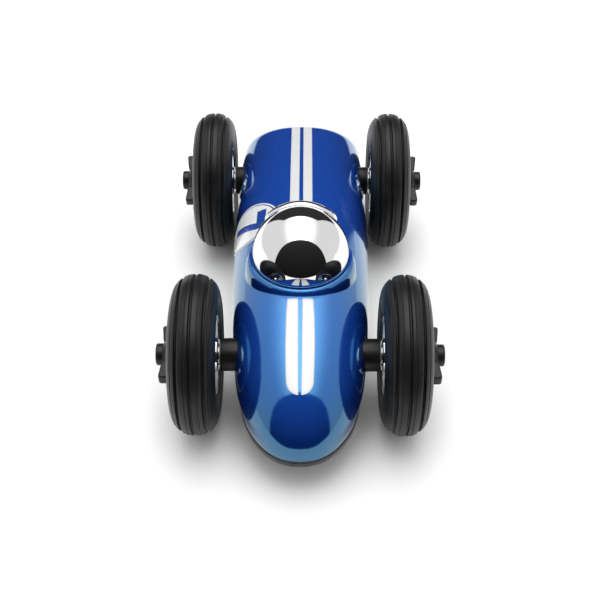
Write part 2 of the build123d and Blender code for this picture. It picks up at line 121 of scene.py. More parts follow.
def end_round(t, power):
    """Rises from 0 at a tip to 1 where the rounding ends."""
    t = np.clip(t, 0.0, 1.0)
    return (1 - (1 - t) ** power) ** (1 / power)


def half_width(s):
    """Half the plan width at distance s from the nose tip."""
    ahead = np.clip((WIDEST_AT - s) / WIDEST_AT, 0, 1)
    behind = np.clip((s - WIDEST_AT) / (LENGTH - WIDEST_AT), 0, 1)
    taper = 1 - NOSE_TAPER[0] * ahead ** NOSE_TAPER[1] - TAIL_TAPER[0] * behind ** TAIL_TAPER[1]
    nose = end_round(s / NOSE_PLAN[0], NOSE_PLAN[1])
    tail = end_round((LENGTH - s) / TAIL_PLAN[0], TAIL_PLAN[1])
    return HALF_WIDTH * taper * nose * tail


def crown(s):
    """Height of the spine."""
    behind = np.clip((s - CROWN_AT) / (LENGTH - CROWN_AT), 0, 1)
    fall = 1 - TAIL_FALL[0] * behind ** TAIL_FALL[1]
    ends = end_round(s / CROWN_AT, CROWN_POWER) * end_round((LENGTH - s) / TAIL_SIDE[0], TAIL_SIDE[1])
    return FOOT + (CROWN_Z - FOOT) * fall * ends


def waist(s):
    """Height of the widest line."""
    rise = np.sin(np.minimum(s / WAIST_AT, 1.0) * math.pi / 2)
    return FOOT + (WAIST - LIP) * rise * end_round((LENGTH - s) / TAIL_WAIST[0], TAIL_WAIST[1])


def base_width(s):
    """Half the width at the parting line."""
    return half_width(s) * (1 - TUCK * (waist(s) - FOOT) / (WAIST - LIP))


def bezier(u, a, b, c, d):
    return (1 - u) ** 3 * a + 3 * (1 - u) ** 2 * u * b + 3 * (1 - u) * u ** 2 * c + u ** 3 * d


def squareness(s):
    """Handle length of the section curve at the spine, at distance s from the nose tip."""
    share = np.clip(s / SQUARE_FROM, 0, 1)
    return NOSE_SQUARENESS + (SQUARENESS - NOSE_SQUARENESS) * share ** 2 * (3 - 2 * share)


def upper_curve(u, s):
    """Half section from the waist (u 0) to the spine (u 1)."""
    w = half_width(s)
    t = crown(s)
    m = waist(s)
    k = squareness(s)
    return bezier(u, w, w, k * w, 0), bezier(u, m, m + SIDE_SQUARENESS * (t - m), t, t)


def lower_curve(u, s):
    """Half section from the parting line (u 0) to the waist (u 1)."""
    w = half_width(s)
    b = base_width(s)
    m = waist(s)
    rise = m - FOOT
    first, last = LOW_HANDLES
    across = bezier(u, b, b + first * (w - b), w, w)
    return across, bezier(u, FOOT, FOOT + first * rise, m - last * rise, m)


def skin_point(s, v):
    """Point of the skin; v is 0 at the right parting line, 1 at the spine and 2 at the left one."""
    s, v = np.broadcast_arrays(s, v)
    side = np.where(v <= 1, 1.0, -1.0)
    v = np.where(v <= 1, v, 2 - v)
    low_x, low_z = lower_curve(np.clip(v / WAIST_V, 0, 1), s)
    high_x, high_z = upper_curve(np.clip((v - WAIST_V) / (1 - WAIST_V), 0, 1), s)
    below = v < WAIST_V
    x = np.where(below, low_x, high_x)
    z = np.where(below, low_z, high_z)
    return np.stack([side * x, s + NOSE_Y, z], axis=-1)


def narrowed(low, high, is_past):
    """Range drawn together by halving; is_past tells where a value lies past the one looked for."""
    for _ in range(HALVINGS):
        mid = (low + high) / 2
        past = is_past(mid)
        high = np.where(past, mid, high)
        low = np.where(past, low, mid)
    return low, high


def solve(curve, s, wanted, falling):
    """Parameter at which a monotone curve reaches the wanted value."""
    def is_past(u):
        return (curve(u, s) < wanted) if falling else (curve(u, s) > wanted)

    low, high = narrowed(np.zeros_like(wanted), np.ones_like(wanted), is_past)
    return (low + high) / 2


def skin_height(x, y):
    """Height of the bare skin above a point of the plan."""
    x, y = np.broadcast_arrays(np.asarray(x, float), np.asarray(y, float))
    s = y - NOSE_Y
    u = solve(lambda q, at: upper_curve(q, at)[0], s, np.abs(x), True)
    return upper_curve(u, s)[1]


def skin_reach(y, z):
    """Half width of the skin at a height."""
    s = y - NOSE_Y
    above = z > waist(s)
    high_u = solve(lambda q, at: upper_curve(q, at)[1], s, z, False)
    low_u = solve(lambda q, at: lower_curve(q, at)[1], s, z, False)
    return np.where(above, upper_curve(high_u, s)[0], lower_curve(low_u, s)[0])


def coaming_height(r):
    """Height of the raised cockpit rim at a distance from the ball's axis."""
    t = (r - COAMING_TOP_R) / COAMING_REACH
    outer = COAMING_DROP * ((1 - np.clip(t, 0, 1) ** COAMING_ROLL[0]) ** (1 / COAMING_ROLL[1]) - 1)
    beyond = -COAMING_WALL * np.maximum(r - COAMING_TOP_R - COAMING_REACH, 0)
    inner = -COAMING_INNER * np.maximum(COAMING_TOP_R - r, 0) ** 2
    return COAMING_TOP_Z + outer + beyond + inner


def smooth_max(a, b, reach):
    """The larger of two heights, with a soft fillet where they meet."""
    near = np.maximum(reach - np.abs(a - b), 0) / reach
    return np.maximum(a, b) + near ** 3 * reach / 6


def deck(x, y):
    """Height of the painted surface above a point of the plan, coaming included."""
    r = np.hypot(x, y - HEAD_Y)
    return smooth_max(skin_height(x, y), coaming_height(r), COAMING_BLEND)


# ======== mesh helpers
def make_piece(name, points, faces, material, body="body", stands_for=()):
    """A smooth-shaded piece that rides on a body, from points in millimetres."""
    mesh = bpy.data.meshes.new(name)
    mesh.from_pydata([tuple(p) for p in np.asarray(points, float) * MM], [], [tuple(f) for f in faces])
    work = bmesh.new()
    work.from_mesh(mesh)
    bmesh.ops.remove_doubles(work, verts=work.verts, dist=1e-6)
    bmesh.ops.recalc_face_normals(work, faces=work.faces)
    work.to_mesh(mesh)
    work.free()
    mesh.shade_smooth()
    mesh.materials.append(material)
    piece = bpy.data.objects.new(name, mesh)
    bpy.context.scene.collection.objects.link(piece)
    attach(piece, body)
    if stands_for:
        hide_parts(*stands_for)
    return piece


def grid_faces(rows, columns, start=0, wrap_rows=False, wrap_columns=False):
    """Quads of a grid of points stored row by row."""
    faces = []
    for i in range(rows if wrap_rows else rows - 1):
        for j in range(columns if wrap_columns else columns - 1):
            a = start + i * columns + j
            b = start + i * columns + (j + 1) % columns
            c = start + (i + 1) % rows * columns + (j + 1) % columns
            d = start + (i + 1) % rows * columns + j
            faces.append((a, b, c, d))
    return faces


def solidify(piece, thickness):
    """Gives an open skin a thickness inward from its face."""
    wall = piece.modifiers.new("wall", "SOLIDIFY")
    wall.thickness = thickness * MM
    wall.offset = -1.0


def turned(profile, centre, axis, steps):
    """Closed profile of (along, radius) points turned about an axis through the centre."""
    profile = np.asarray(profile, float)
    angles = np.linspace(0, 2 * math.pi, steps, endpoint=False)
    along = np.repeat(profile[:, :1], steps, axis=1)
    first = profile[:, 1:] * np.cos(angles)
    second = profile[:, 1:] * np.sin(angles)
    order = {"x": (along, first, second), "z": (first, second, along)}[axis]
    points = np.stack(order, axis=-1).reshape(-1, 3) + np.asarray(centre, float)
    return points, grid_faces(len(profile), steps, wrap_rows=True, wrap_columns=True)


NEARLY_STRAIGHT = math.radians(87)  # half the angle of a corner that stays as it is
CORNER_SHARE = 0.49  # the most that a rounded corner takes of a side


def rounded(points, radii, steps=6):
    """Closed outline with its corners rounded, from (a, b) points and a radius for each."""
    points = [np.array(p, float) for p in points]
    made = []
    for i, corner in enumerate(points):
        before = points[i - 1] - corner
        after = points[(i + 1) % len(points)] - corner
        before_length = np.linalg.norm(before)
        after_length = np.linalg.norm(after)
        before /= before_length
        after /= after_length
        half = math.acos(np.clip(before @ after, -1, 1)) / 2
        if radii[i] == 0 or half > NEARLY_STRAIGHT:
            made.append(corner)
            continue
        reach = min(radii[i] / math.tan(half), CORNER_SHARE * min(before_length, after_length))
        for q in np.linspace(0, 1, steps):
            first = corner + before * reach
            last = corner + after * reach
            made.append((1 - q) ** 2 * first + 2 * (1 - q) * q * corner + q ** 2 * last)
    return np.array(made)


def inset_outline(outline, amount):
    """Outline drawn in by an amount along its own normals."""
    tangent = np.roll(outline, -1, axis=0) - np.roll(outline, 1, axis=0)
    inward = np.stack([-tangent[:, 1], tangent[:, 0]], axis=-1)
    inward /= np.maximum(np.linalg.norm(inward, axis=1)[:, None], 1e-9)
    return outline + inward * amount


# ======== materials
def add_node(tree, kind, inputs=None, **settings):
    """A shader node with its settings, and its inputs given as values or as sockets to link."""
    made = tree.nodes.new("ShaderNode" + kind)
    for key, value in settings.items():
        setattr(made, key, value)
    for key, value in (inputs or {}).items():
        if isinstance(value, bpy.types.NodeSocket):
            tree.links.new(value, made.inputs[key])
        else:
            made.inputs[key].default_value = value
    return made


def calc(tree, operation, *values):
    return add_node(tree, "Math", dict(enumerate(values)), operation=operation).outputs[0]


def vector_calc(tree, operation, inputs):
    return add_node(tree, "VectorMath", inputs, operation=operation).outputs[0]


def noise(tree, scale, detail=2.0, roughness=0.5, stretch=(1, 1, 1)):
    """Fine noise in the piece's own place, scale in cells per metre."""
    place = add_node(tree, "TexCoord").outputs["Object"]
    mapped = add_node(tree, "Mapping", {"Vector": place, "Scale": stretch}).outputs[0]
    inputs = {"Vector": mapped, "Scale": scale, "Detail": detail, "Roughness": roughness}
    return add_node(tree, "TexNoise", inputs).outputs["Fac"]


def ranged(tree, value, low, high, start=0.3, end=0.7):
    """A value between start and end spread over another range."""
    inputs = {"Value": value, "From Min": start, "From Max": end, "To Min": low, "To Max": high}
    return add_node(tree, "MapRange", inputs).outputs[0]


def mixed(tree, factor, first, second):
    """Blend of two colours."""
    ends = [c if isinstance(c, bpy.types.NodeSocket) else (*c, 1.0) for c in (first, second)]
    return add_node(tree, "Mix", {0: factor, 6: ends[0], 7: ends[1]}, data_type="RGBA").outputs[2]


def bumped(tree, height, distance, strength=1.0):
    inputs = {"Height": height, "Distance": distance, "Strength": strength}
    return add_node(tree, "Bump", inputs).outputs["Normal"]


def new_material(name):
    material = bpy.data.materials.new(name)
    material.use_nodes = True
    tree = material.node_tree
    tree.nodes.clear()
    shader = add_node(tree, "BsdfPrincipled")
    add_node(tree, "OutputMaterial", {"Surface": shader.outputs[0]})
    return material, tree, shader


def set_inputs(tree, shader, **inputs):
    """Fills a shader's inputs; an underscore in a key stands for a space."""
    for key, value in inputs.items():
        socket = shader.inputs[key.replace("_", " ")]
        if isinstance(value, bpy.types.NodeSocket):
            tree.links.new(value, socket)
        elif socket.type == "RGBA":
            socket.default_value = (*value, 1.0)
        else:
            socket.default_value = value


FLAKES_PER_METRE = 2600.0
FLAKE_TILT = 0.035
LACQUER_DARK = (0.0080, 0.056, 0.375)
LACQUER_LIGHT = (0.0120, 0.078, 0.455)
LACQUER_CLOUD = (0.0085, 0.062, 0.42)
LACQUER_PAINTED_SHADE = (0.0015, 0.012, 0.105)  # painted shade: the base darkens to this where the skin stands steep, as if those faces got less of the overhead light


def lacquer():
    """Blue metallic lacquer: a deep base full of fine flakes under a clear coat, with painted shade
    darkening the base on steep faces.
    """
    material, tree, shader = new_material("blue_metallic_lacquer")
    place = add_node(tree, "TexCoord").outputs["Object"]
    flakes = add_node(tree, "TexVoronoi", {"Vector": place, "Scale": FLAKES_PER_METRE})
    spark = add_node(tree, "SeparateColor", {"Color": flakes.outputs["Color"]}).outputs[0]
    cloud = noise(tree, 55.0, detail=3.0)
    base = mixed(tree, ranged(tree, spark, 0.0, 1.0, 0.0, 1.0), LACQUER_DARK, LACQUER_LIGHT)
    base = mixed(tree, ranged(tree, cloud, 0.0, 0.35), base, LACQUER_CLOUD)
    # painted shade: the base colour darkens as the face turns from level to steep
    facing = add_node(tree, "NewGeometry").outputs["Normal"]
    level = add_node(tree, "SeparateXYZ", {0: facing}).outputs[2]
    painted_shade_share = ranged(tree, level, 0.85, 0.0, 0.40, 1.0)
    base = mixed(tree, painted_shade_share, base, LACQUER_PAINTED_SHADE)
    tilt = vector_calc(tree, "SUBTRACT", {0: flakes.outputs["Color"], 1: (0.5, 0.5, 0.5)})
    lean = vector_calc(tree, "SCALE", {0: tilt, "Scale": FLAKE_TILT})
    flake_normal = vector_calc(tree, "NORMALIZE", {0: vector_calc(tree, "ADD", {0: facing, 1: lean})})
    set_inputs(
        tree, shader, Base_Color=base, Metallic=0.16, IOR=2.45, Specular_Tint=(0.06, 0.66, 0.88),
        Roughness=ranged(tree, cloud, 0.075, 0.105), Normal=flake_normal,
        Coat_Weight=1.0, Coat_Roughness=0.015, Coat_IOR=1.5,
    )
    ripple = bumped(tree, noise(tree, 160.0, detail=1.0), 0.00002, 0.5)
    set_inputs(tree, shader, Coat_Normal=ripple)
    return material


def plating(name, tone):
    """Bright plating with faint rub marks."""
    material, tree, shader = new_material(name)
    rubs = noise(tree, 900.0, detail=4.0, stretch=(1, 0.12, 1))
    haze = noise(tree, 40.0, detail=3.0)
    colour = mixed(tree, ranged(tree, haze, 0.0, 1.0), tone, tuple(0.97 * c for c in tone))
    rough = calc(tree, "ADD", ranged(tree, haze, 0.018, 0.034), ranged(tree, rubs, 0.0, 0.012))
    set_inputs(tree, shader, Base_Color=colour, Metallic=1.0, Roughness=rough,
               Normal=bumped(tree, rubs, 0.000002, 0.4))
    return material


def clouded(name, tones, cells, roughness, grain, **more):
    """Film or plastic: two close tones in soft clouds, and a fine grain (cells per metre, depth)."""
    material, tree, shader = new_material(name)
    cloud = noise(tree, cells, detail=3.0)
    colour = mixed(tree, ranged(tree, cloud, 0.0, 1.0), *tones)
    normal = bumped(tree, noise(tree, grain[0]), grain[1], 0.3)
    rough = ranged(tree, cloud, *roughness)
    set_inputs(tree, shader, Base_Color=colour, Roughness=rough, Normal=normal, **more)
    return material


def print_film(name, tone, shade):
    """Glossy printed marking with a faint orange-peel."""
    return clouded(name, (tone, shade), 120.0, (0.16, 0.24), (700.0, 0.00001),
                   Coat_Weight=0.8, Coat_Roughness=0.03)


def black_plastic(name, tone, roughness):
    """Moulded plastic with a fine spark-eroded grain."""
    paler = tuple(1.5 * c for c in tone)
    return clouded(name, (tone, paler), 90.0, (roughness - 0.04, roughness + 0.05), (5200.0, 0.00002),
                   Specular_IOR_Level=0.32)


def rubber():
    """Satin tyre rubber with a moulded grain and slightly paler worn patches in random clouds."""
    material, tree, shader = new_material("tyre_rubber")
    grain = noise(tree, 3800.0, detail=3.0, roughness=0.6)
    cloud = noise(tree, 70.0, detail=4.0)
    colour = mixed(tree, ranged(tree, cloud, 0.0, 1.0), (0.0075, 0.0076, 0.0072), (0.0125, 0.0125, 0.0118))
    rough = calc(tree, "ADD", ranged(tree, cloud, 0.36, 0.44), ranged(tree, grain, -0.03, 0.04))
    set_inputs(tree, shader, Base_Color=colour, Roughness=rough, Specular_IOR_Level=0.30,
               Normal=bumped(tree, grain, 0.00003, 0.35))
    return material


def natural_plastic():
    """Milky bearing plastic."""
    tones = ((0.62, 0.60, 0.54), (0.70, 0.68, 0.62))
    return clouded("natural_bearing_plastic", tones, 300.0, (0.38, 0.50), (4000.0, 0.00001))


def drawn_steel(name, tone, stretch):
    """Steel with marks along the way that it was drawn or turned."""
    material, tree, shader = new_material(name)
    lines = noise(tree, 2500.0, detail=3.0, stretch=stretch)
    colour = mixed(tree, ranged(tree, lines, 0.0, 1.0), tone, tuple(0.8 * c for c in tone))
    set_inputs(tree, shader, Base_Color=colour, Metallic=1.0, Roughness=ranged(tree, lines, 0.20, 0.36),
               Normal=bumped(tree, lines, 0.000004, 0.5))
    return material


BLUE = lacquer()
BALL_PLATE = plating("ball_plating", (0.82, 0.82, 0.825))
RIM_PLATE = plating("rim_plating", (0.90, 0.90, 0.905))
WHITE_FILM = print_film("white_print", (0.70, 0.705, 0.715), (0.675, 0.68, 0.69))
BLUE_FILM = print_film("blue_print", (0.010, 0.055, 0.30), (0.008, 0.048, 0.27))
RUBBER = rubber()
SPINNER_BLACK = black_plastic("spinner_plastic", (0.008, 0.008, 0.0083), 0.34)
SLEEVE_BLACK = black_plastic("sleeve_plastic", (0.0065, 0.0066, 0.0062), 0.40)
TRAY_BLACK = black_plastic("tray_plastic", (0.022, 0.022, 0.0225), 0.28)
# painted reflection: a paler copy of the tray plastic, standing in for the pale floor seen in the edge
# band
TRAY_EDGE_PAINTED_REFLECTION = black_plastic("tray_edge_painted_reflection", (0.036, 0.0355, 0.035), 0.30)
BEARING = natural_plastic()
STEEL = drawn_steel("axle_steel", (0.60, 0.60, 0.61), (0.05, 1, 1))
ZINC = drawn_steel("screw_zinc", (0.52, 0.53, 0.55), (1, 1, 0.2))


# ======== painted shell
STATIONS = 240
COLUMNS = 145  # odd, so that one column runs along the spine
HOLE_R = 9.02  # opening for an axle sleeve
COCKPIT_AHEAD = 33.0  # size of the reworked patch round the cockpit
COCKPIT_BEHIND = 36.0
COCKPIT_V = 0.46
WELL_FLOOR_SHARES = (0.7, 0.35, 0.001)  # rings of the well's floor and wall
WELL_WALL_SHARES = (0.03, 0.08, 0.2, 0.5, 1.0)
STEEP_MARGIN = 1.0  # the fine rings start this far outside the steepest one
SLEEVE_AHEAD = 11.0
SLEEVE_V = (0.07, 0.58)


def stations():
    """Distances from the nose tip, closer together at both ends."""
    return LENGTH * (1 - np.cos(np.pi * np.arange(1, STATIONS) / STATIONS)) / 2


def loop_of_block(i0, i1, j0, j1):
    """Grid places round a block of cells, in order."""
    loop = [(i0, j) for j in range(j0, j1)]
    loop += [(i, j1) for i in range(i0, i1)]
    loop += [(i1, j) for j in range(j1, j0, -1)]
    loop += [(i, j0) for i in range(i1, i0, -1)]
    return [i * COLUMNS + j for i, j in loop]


def link_rings(points, faces, loop, rings):
    """Adds rings of points one inside the other, joined to the loop and to each other."""
    count = len(loop)
    for ring in rings:
        start = len(points)
        points.extend(ring)
        inner = list(range(start, start + count))
        for k in range(count):
            faces.append((loop[k], loop[(k + 1) % count], inner[(k + 1) % count], inner[k]))
        loop = inner


def cockpit_rings(edge):
    """Rings from the patch's edge over the coaming and down the well."""
    away = edge[:, 1] - HEAD_Y
    angle = np.arctan2(away, edge[:, 0])
    reach = np.hypot(edge[:, 0], away)
    steep_r = COAMING_TOP_R + COAMING_REACH + STEEP_MARGIN
    radii = [steep_r + (reach - steep_r) * q for q in np.linspace(1, 0, 9)[1:]]
    radii += [np.full_like(reach, r) for r in np.linspace(steep_r, WELL_R, 30)[1:]]
    rings = []
    for r in radii:
        x = r * np.cos(angle)
        y = HEAD_Y + r * np.sin(angle)
        rings.append(np.stack([x, y, deck(x, y)], axis=-1))
    rim = rings[-1]
    for q in WELL_WALL_SHARES:
        wall = rim.copy()
        wall[:, 2] = rim[:, 2] + (WELL_FLOOR - rim[:, 2]) * q
        rings.append(wall)
    for share in WELL_FLOOR_SHARES:
        floor_ring = rings[-1].copy()
        floor_ring[:, 0] = WELL_R * share * np.cos(angle)
        floor_ring[:, 1] = HEAD_Y + WELL_R * share * np.sin(angle)
        rings.append(floor_ring)
    return rings


def sleeve_rings(edge, side, axle_y):
    """Rings from the patch's edge to the round opening for an axle sleeve."""
    along = edge[:, 1] - axle_y
    up = edge[:, 2] - AXLE_Z
    angle = np.arctan2(up, along)
    reach = np.hypot(along, up)
    rings = []
    for q in np.linspace(1, 0, 8)[1:]:
        r = HOLE_R + (reach - HOLE_R) * q
        y = axle_y + r * np.cos(angle)
        z = AXLE_Z + r * np.sin(angle)
        rings.append(np.stack([side * skin_reach(y, z), y, z], axis=-1))
    return rings


def shell_lip(outline):
    """Rings that round the lower edge inward, from the closed outline."""
    turns = [math.radians(a) for a in (25, 50, 75, 90)]
    steps = [(LIP * (1 - math.cos(a)), FOOT - LIP * math.sin(a)) for a in turns]
    rings = []
    for inset, z in steps + [(LIP_DEPTH, SEAM_Z)]:
        ring = outline.copy()
        ring[:, :2] = inset_outline(outline[:, :2], inset)
        ring[:, 2] = z
        rings.append(ring)
    return rings


def painted_shell():
    """Shell with its cockpit and its four sleeve openings, as one skin with a wall."""
    s = stations()
    v = np.linspace(0, 2, COLUMNS)
    grid = skin_point(s[:, None], v[None, :])
    rows = len(s)
    points = list(grid.reshape(-1, 3))
    nose = len(points)
    points.append(np.array([0, NOSE_Y, FOOT]))
    tail = len(points)
    points.append(np.array([0, NOSE_Y + LENGTH, FOOT]))

    def row_at(distance):
        return int(np.argmin(np.abs(s - distance)))

    def column_at(place):
        return int(np.argmin(np.abs(v - place)))

    head_s = HEAD_Y - NOSE_Y
    blocks = [(row_at(head_s - COCKPIT_AHEAD), row_at(head_s + COCKPIT_BEHIND),
               column_at(COCKPIT_V), column_at(2 - COCKPIT_V))]
    rings = [cockpit_rings]
    for end in ENDS:
        axle_s = AXLE_Y[end] - NOSE_Y
        first = row_at(axle_s - SLEEVE_AHEAD)
        last = row_at(axle_s + SLEEVE_AHEAD)
        for side, low, high in ((1, SLEEVE_V[0], SLEEVE_V[1]), (-1, 2 - SLEEVE_V[1], 2 - SLEEVE_V[0])):
            blocks.append((first, last, column_at(low), column_at(high)))
            rings.append(lambda edge, side=side, end=end: sleeve_rings(edge, side, AXLE_Y[end]))

    reworked = np.zeros((rows - 1, COLUMNS - 1), bool)
    for i0, i1, j0, j1 in blocks:
        reworked[i0:i1, j0:j1] = True
    cells = grid_faces(rows, COLUMNS)
    faces = [cell for cell, skip in zip(cells, reworked.ravel()) if not skip]
    faces += [(nose, j + 1, j) for j in range(COLUMNS - 1)]
    last_row = (rows - 1) * COLUMNS
    faces += [(tail, last_row + j, last_row + j + 1) for j in range(COLUMNS - 1)]
    for block, make_rings in zip(blocks, rings):
        loop = loop_of_block(*block)
        edge = np.array([points[k] for k in loop])
        link_rings(points, faces, loop, make_rings(edge))
    right = [i * COLUMNS for i in range(rows)]
    left = [i * COLUMNS + COLUMNS - 1 for i in reversed(range(rows))]
    border = [nose] + right + [tail] + left
    link_rings(points, faces, border, shell_lip(np.array([points[k] for k in border])))
    shell = make_piece("painted_shell", points, faces, BLUE, stands_for=("body_shell",))
    solidify(shell, WALL)


# ======== edge of the tray
EDGE_TOP = SEAM_Z - 1.2  # leaves a dark joint under the shell
EDGE_FOOT = TRAY_Z + 0.05
EDGE_DEPTH = 3.6  # how far it reaches in, past the tray's own edge
EDGE_RADII = (0.4, 1.1, 0, 0)


def tray_edge():
    """Moulded edge that follows the painted shell all round, below the joint."""
    s = stations()
    right = np.stack([base_width(s), s + NOSE_Y], axis=-1)
    left = right[::-1] * (-1, 1)
    outline = np.concatenate([[(0, NOSE_Y)], right, [(0, NOSE_Y + LENGTH)], left])
    corners = [(0, EDGE_TOP), (0, EDGE_FOOT), (EDGE_DEPTH, EDGE_FOOT), (EDGE_DEPTH, EDGE_TOP)]
    section = rounded(corners, EDGE_RADII)
    points = []
    for inset, z in section:
        points += [(x, y, z) for x, y in inset_outline(outline, inset)]
    faces = grid_faces(len(section), len(outline), wrap_rows=True, wrap_columns=True)
    # painted reflection: the edge wears the paler tray plastic that stands in for the floor's reflection
    make_piece("tray_edge", points, faces, TRAY_EDGE_PAINTED_REFLECTION)


# ======== markings
FILM = 0.15  # how far a printed marking stands off the shell
FILM_DEPTH = 0.20


def lifted(grid, height):
    """A grid of skin points moved outward along its own normals."""
    first = np.gradient(grid, axis=0)
    second = np.gradient(grid, axis=1)
    normal = np.cross(first, second)
    size = np.linalg.norm(normal, axis=-1, keepdims=True)
    thin = size[..., 0] < 1e-9
    normal = normal / np.maximum(size, 1e-9)
    for i in range(1, len(grid)):
        normal[i][thin[i]] = normal[i - 1][thin[i]]
    if normal[0, 0, 2] < 0:
        normal = -normal
    return grid + height * normal


def film(name, grid, material, node):
    """A printed marking from a grid of points on the skin."""
    rows, columns = grid.shape[:2]
    points = lifted(grid, FILM).reshape(-1, 3)
    piece = make_piece(name, points, grid_faces(rows, columns), material, stands_for=(node,))
    solidify(piece, FILM_DEPTH)


BONNET_START = 12.8  # places on the bonnet stripes, measured from the front axle
BONNET_CORNER = -34.2
BONNET_TIP = -40.6
BONNET_PLACES = (-34.2, -24.0, -12.0, 0.0, 12.8)
BONNET_EDGE = (7.15, 7.52, 7.72, 7.5, 6.9)  # distance of the outer edge from the middle there
BONNET_GAP = (0.75, 0.35)  # half the gap at the tip, and how much it opens towards the cockpit
TAIL_INNER = 1.15
TAIL_OUTER = 6.68
TAIL_STRIPE_FOOT = 47.0  # height where the tail stripes end
TAIL_SEARCH = 15.0  # the height is looked for this near the tail's end
TAIL_STRIPE_START = HEAD_Y + 31.0 - NOSE_Y


def front_stripe(hand, side):
    """Stripe ahead of the cockpit, square at the coaming and rounded at its outer nose corner."""
    body = np.linspace(BONNET_START, BONNET_CORNER, 60)
    curl = BONNET_TIP - BONNET_CORNER
    tip = BONNET_CORNER + curl * np.sin(np.linspace(0, math.pi / 2, 22)[1:])
    along = np.concatenate([body, tip])
    outer = np.polynomial.Polynomial.fit(BONNET_PLACES, BONNET_EDGE, 3)(along)
    inner = BONNET_GAP[0] + BONNET_GAP[1] * (along - BONNET_TIP) / (BONNET_START - BONNET_TIP)
    turn = np.clip((along - BONNET_CORNER) / curl, 0, 1)
    rounding = 1 - np.sqrt(np.maximum(1 - turn ** 2, 0))
    outer = outer - (outer - inner) * rounding
    q = np.linspace(0, 1, 10)
    x = side * (inner[:, None] + (outer - inner)[:, None] * q)
    y = AXLE_Y["front"] + along[:, None] + 0 * q
    grid = np.stack([x, y, deck(x, y)], axis=-1)
    film("bonnet_stripe_" + hand, grid, WHITE_FILM, "stripe_front_" + hand)


def rear_stripe(hand, side):
    """Stripe from the headrest over the tail, cut off level at its foot."""
    x = np.linspace(TAIL_INNER, TAIL_OUTER, 9)

    def is_past(s):
        return skin_height(x, s + NOSE_Y) <= TAIL_STRIPE_FOOT

    foot = narrowed(np.full_like(x, LENGTH - TAIL_SEARCH), np.full_like(x, LENGTH), is_past)[0]
    turn = np.linspace(0, 1, 130)[:, None]  # closer steps towards the tail's end
    reach = LENGTH + 0.05 - TAIL_STRIPE_START
    last = np.arcsin((foot - TAIL_STRIPE_START) / reach)
    s = TAIL_STRIPE_START + reach * np.sin(turn * last)
    wide = np.broadcast_to(x, s.shape)
    y = s + NOSE_Y
    grid = np.stack([side * wide, y, skin_height(wide, y)], axis=-1)
    film("tail_stripe_" + hand, grid, WHITE_FILM, "stripe_rear_" + hand)


ROUNDEL_X = -31.0
ROUNDEL_Y = NOSE_Y + 145.6
DISC_R = 17.0
RING_IN = 17.9
RING_OUT = 18.9
DISC_RINGS = (0.02, 2, 4, 6, 8, 10, 12, 14, 15.5, 16.5, DISC_R)
NUMERAL_BAR = ((-9.2, 11.9), (9.0, 11.9), (9.0, 6.4), (-9.2, 6.3))
NUMERAL_LEG = ((2.6, 6.5), (9.0, 6.5), (0.4, -11.5), (-5.8, -11.5))
NUMERAL_LIFT = 0.05  # how far the numeral stands off the disc
FLANK_REACH = 12.0  # how far off the roundel's plane the skin is looked for


def roundel_axes():
    """Middle of the roundel on the skin, its outward normal and its two in-plane axes."""
    step = 0.5
    x = ROUNDEL_X
    y = ROUNDEL_Y
    middle = np.array([x, y, float(skin_height(x, y))])
    across = np.array([2 * step, 0, float(skin_height(x + step, y) - skin_height(x - step, y))])
    along = np.array([0, 2 * step, float(skin_height(x, y + step) - skin_height(x, y - step))])
    normal = np.cross(across, along)
    normal /= np.linalg.norm(normal)
    right = np.array([0, -1.0, 0])
    right -= normal * (right @ normal)
    right /= np.linalg.norm(right)
    return middle, normal, right, np.cross(normal, right)


def on_flank(a, b, height):
    """Points of the skin under places of the roundel's plane, lifted off it."""
    middle, normal, right, up = roundel_axes()
    flat = middle + np.asarray(a)[..., None] * right + np.asarray(b)[..., None] * up

    def is_past(lift):
        point = flat + lift[..., None] * normal
        return point[..., 2] > skin_height(point[..., 0], point[..., 1])

    most = np.full(flat.shape[:-1], FLANK_REACH)
    lift = narrowed(-most, most, is_past)[1]
    return flat + (lift[..., None] + height) * normal


def roundel_piece(name, grids, height, material, node, wrap):
    """Film on the flank from grids of places in the roundel's plane."""
    points = []
    faces = []
    for a, b in grids:
        made = on_flank(a, b, height)
        rows, columns = made.shape[:2]
        faces += grid_faces(rows, columns, start=len(points), wrap_columns=wrap)
        points.extend(made.reshape(-1, 3))
    piece = make_piece(name, points, faces, material, stands_for=(node,))
    solidify(piece, FILM_DEPTH)


def bilinear(corners, rows, columns):
    """Grid over a four-cornered patch; corners run round it."""
    p = np.linspace(0, 1, rows)[:, None]
    q = np.linspace(0, 1, columns)[None, :]
    a, b, c, d = [np.array(corner, float) for corner in corners]
    return [(1 - p) * ((1 - q) * a[k] + q * b[k]) + p * ((1 - q) * d[k] + q * c[k]) for k in (0, 1)]


def roundel():
    """White disc, thin ring round it and the numeral, on the left flank."""
    angle = np.linspace(0, 2 * math.pi, 120, endpoint=False)[None, :]
    disc_r = np.array(DISC_RINGS)[:, None]
    ring_r = np.linspace(RING_IN, RING_OUT, 4)[:, None]
    disc = [(disc_r * np.cos(angle), disc_r * np.sin(angle))]
    ring = [(ring_r * np.cos(angle), ring_r * np.sin(angle))]
    roundel_piece("roundel_disc", disc, FILM, WHITE_FILM, "number_disc", True)
    roundel_piece("roundel_ring", ring, FILM, WHITE_FILM, "number_ring", True)
    numeral = [bilinear(NUMERAL_BAR, 8, 28), bilinear(NUMERAL_LEG, 26, 9)]
    roundel_piece("roundel_numeral", numeral, FILM + NUMERAL_LIFT, BLUE_FILM,
                  "number_digit", False)


